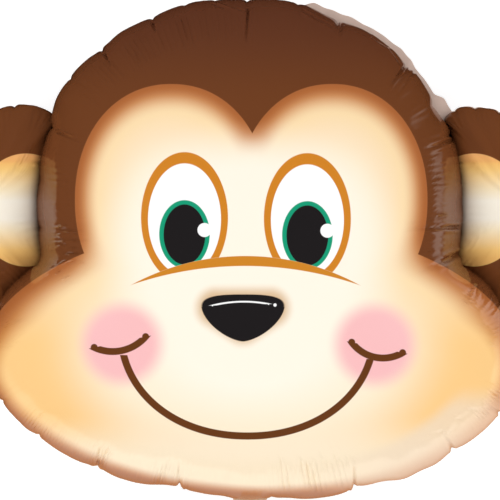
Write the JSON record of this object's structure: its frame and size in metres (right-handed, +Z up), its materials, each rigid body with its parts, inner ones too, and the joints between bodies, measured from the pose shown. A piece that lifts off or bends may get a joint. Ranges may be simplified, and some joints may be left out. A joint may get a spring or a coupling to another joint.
{
  "type": "monkey foil balloon",
  "caption": "Inflated foil balloon in the shape of a smiling monkey's head with round ears, a heat-sealed border and a filling tail, lying on its back.",
  "frame": {"origin": "on the surface the balloon lies on, under the middle of its bounding box", "axes": "+X to the viewer's right across the ears, +Y towards the top of the head, +Z up, out of the face"},
  "size_m": [0.8088, 0.703, 0.302],
  "materials": {
    "printed_foil": "printed metallised film, satin with soft foil sheen"
  },
  "bodies": {
    "root": {"foil_envelope": "printed_foil"}
  },
  "joints": []
}
